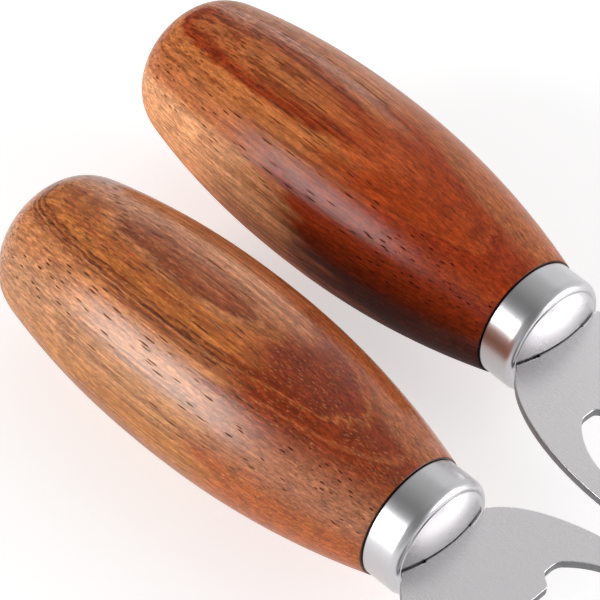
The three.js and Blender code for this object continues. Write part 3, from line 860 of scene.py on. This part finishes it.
def cast_metal(name):
    made, tree, shader = material(name, metallic=1)
    point = surface_mm(tree)
    grain = noise(tree, point, 1.6, detail=6, roughness=0.75)
    lumps = noise(tree, point, 0.35, detail=3)
    pits = add(tree, "TexVoronoi", {"Vector": point, "Scale": 1.1}).outputs["Distance"]
    pit = between(tree, pits, 0.08, 0.22, 1, 0)
    greys = [(0, (0.26, 0.26, 0.27, 1)), (0.6, (0.42, 0.42, 0.43, 1)), (1, (0.55, 0.55, 0.56, 1))]
    tree.links.new(ramp(tree, between(tree, grain, 0.3, 0.7), greys), shader.inputs["Base Color"])
    tree.links.new(between(tree, grain, 0.3, 0.7, 0.62, 0.42, False), shader.inputs["Roughness"])
    height = maths(tree, "SUBTRACT", maths(tree, "ADD", maths(tree, "MULTIPLY", grain, 0.5), lumps),
                   maths(tree, "MULTIPLY", pit, 0.4))
    tree.links.new(bump(tree, height, 0.16 * MM, 0.6), shader.inputs["Normal"])
    return made


# ---- stage ----

SKY_AXIS = (0, 0.84, 0.54)
SKY_GREYS = (  # from straight away from the axis, -1, to straight along it, 1
    (-1, 0.8), (-0.3, 0.5), (-0.1, 0.24), (0.2, 0.2), (0.39, 0.32),
    (0.53, 0.42), (0.65, 0.5), (0.75, 0.58), (0.83, 0.62), (1, 0.5))


def floor_and_lights():
    floor_z, floor_half = -0.1, 2500
    corners = [(x, y, floor_z) for x, y in ((-1, -1), (1, -1), (1, 1), (-1, 1))]
    vertices = [(x * floor_half, y * floor_half, z) for x, y, z in corners]
    floor = piece_from("floor", vertices, [(0, 1, 2, 3)])
    made, tree, shader = material("pale_floor", base_color=(0.64, 0.64, 0.64, 1), roughness=0.9,
                                  emission_color=(1, 1, 1, 1), emission_strength=0.56)
    mottle = noise(tree, surface_mm(tree), 0.02, detail=2)
    tree.links.new(between(tree, mottle, 0, 1, 0.85, 0.95, False), shader.inputs["Roughness"])
    floor.data.materials.append(made)

    centre = Vector((-0.1, 0, 0.02))
    soft_boxes = {  # direction from the object in metres, length, height, radiance
        "soft_box_left": ((-0.5, -0.84, 0.27), 0.56, 0.56, 8.4),
        "soft_box_right": ((-0.40, 0.86, 0.40), 1.5, 0.8, 0.36),
        "soft_box_front": ((0.85, 0.62, 0.3), 0.9, 0.6, 4.6),
    }
    for name, (direction, length, height, radiance) in soft_boxes.items():
        light = bpy.data.lights.new(name, "AREA")
        light.shape = "RECTANGLE"
        light.size, light.size_y = length, height
        light.energy = radiance * math.pi * length * height
        lamp = bpy.data.objects.new(name, light)
        bpy.context.scene.collection.objects.link(lamp)
        lamp.location = centre + Vector(direction)
        facing = Vector(direction) if name == "soft_box_front" else Vector((0, direction[1], direction[2]))
        lamp.rotation_euler = (-facing).to_track_quat("-Z", "Y").to_euler()

    world = bpy.data.worlds.new("studio")
    bpy.context.scene.world = world
    world.use_nodes = True
    tree = world.node_tree
    direction = add(tree, "TexCoord").outputs["Generated"]
    towards = add(tree, "VectorMath", {0: direction, 1: SKY_AXIS}, operation="DOT_PRODUCT").outputs["Value"]
    stops = [((k + 1) / 2, (grey, grey, grey, 1)) for k, grey in SKY_GREYS]
    sky = ramp(tree, between(tree, towards, -1, 1, smooth=False), stops)
    tree.links.new(sky, tree.nodes["Background"].inputs["Color"])
    tree.nodes["Background"].inputs["Strength"].default_value = 1.0


def camera():
    data = bpy.data.cameras.new("camera")
    data.sensor_width = 36
    data.lens = 167.92
    data.clip_start, data.clip_end = 0.01, 20
    eye = bpy.data.objects.new("camera", data)
    bpy.context.scene.collection.objects.link(eye)
    eye.location = (0.07339, -0.23457, 0.35295)
    eye.rotation_euler = [math.radians(a) for a in (43.748, -2.402, 46.22)]
    bpy.context.scene.camera = eye


# ---- assembly ----

def dress_edges(piece, finish, steepest=0.35):
    """Gives the walls of a flat piece, whose normals are near level, a darker steel of their own: partly
    their rough sheared finish, partly painted shade.
    """
    piece.data.materials.append(finish)
    for polygon in piece.data.polygons:
        if abs(polygon.normal.z) < steepest:
            polygon.material_index = 1


def dress(piece, node_names, body, finish):
    """Gives a piece its material and body, and lets it stand for its CAD node."""
    piece.data.materials.clear()
    piece.data.materials.append(finish)
    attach(piece, body)
    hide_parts(*node_names)


def main():
    camera()
    floor_and_lights()
    woods = {"left": varnished_wood("golden_wood", "left", LEFT_WOOD, 11.3),
             "right": varnished_wood("red_wood", "right", RIGHT_WOOD, 4.7)}
    polished = metal("polished_steel", (0.58, 0.572, 0.585), 0.3, 0.03, (9, 0.5, 0.5), 0.002, 0.015, 0.02)
    satin = metal("satin_steel", (0.83, 0.81, 0.825), 0.28, 0.03, (0.3, 9, 9), 0.002, 0.02, 0.02)
    # dark steel for the plates' walls: partly their rough sheared finish, partly painted shade
    sheared_and_shaded = metal("sheared_edge_and_shade", (0.2, 0.2, 0.21), 0.42, 0.06, (4, 4, 0.4), 0.01, 0.04, 0.1)
    cast = cast_metal("cast_steel")
    rivet = metal("rivet_steel", (0.72, 0.72, 0.73), 0.26, 0.05, (2, 2, 2), 0.01)
    screw = metal("screw_steel", (0.47, 0.47, 0.485), 0.26, 0.04, (6, 0.6, 0.6), 0.006)
    flat = metal("washer_steel", (0.68, 0.68, 0.7), 0.34, 0.06, (3, 3, 3), 0.01)
    bronze = metal("bronze", (0.62, 0.42, 0.2), 0.36, 0.06, (3, 3, 3), 0.01)

    for arm in ("left", "right"):
        body = arm + "_arm"
        dress(grip(arm), [arm + "_grip"], body, woods[arm])
        dress(ferrule(arm), [arm + "_ferrule"], body, polished)
        plate = arm_plate(arm)
        dress(plate, [arm + "_arm_plate"], body, satin)
        dress_edges(plate, sheared_and_shaded)
        dress(jaw(arm), [arm + "_jaw"], body, cast)
        for place, x in rivet_places().items():
            dress(jaw_rivet(arm, place, x), [f"{arm}_jaw_rivet_{place}"], body, rivet)
    dress(pivot_screw(), ["pivot_screw"], "left_arm", screw)
    for nut_part in cap_nut():
        dress(nut_part, ["cap_nut"], "left_arm", screw)
    for node in ("head_washer", "nut_washer"):
        dress(washer(node, node + "_ring", WASHER_RADIUS), [node], "left_arm", flat)
    bearing = washer("pivot_bearing_washer", "bearing_ring", BEARING_RADIUS)
    dress(bearing, ["pivot_bearing_washer"], "left_arm", bronze)



main()
bpy.context.scene.view_settings.view_transform = "Standard"
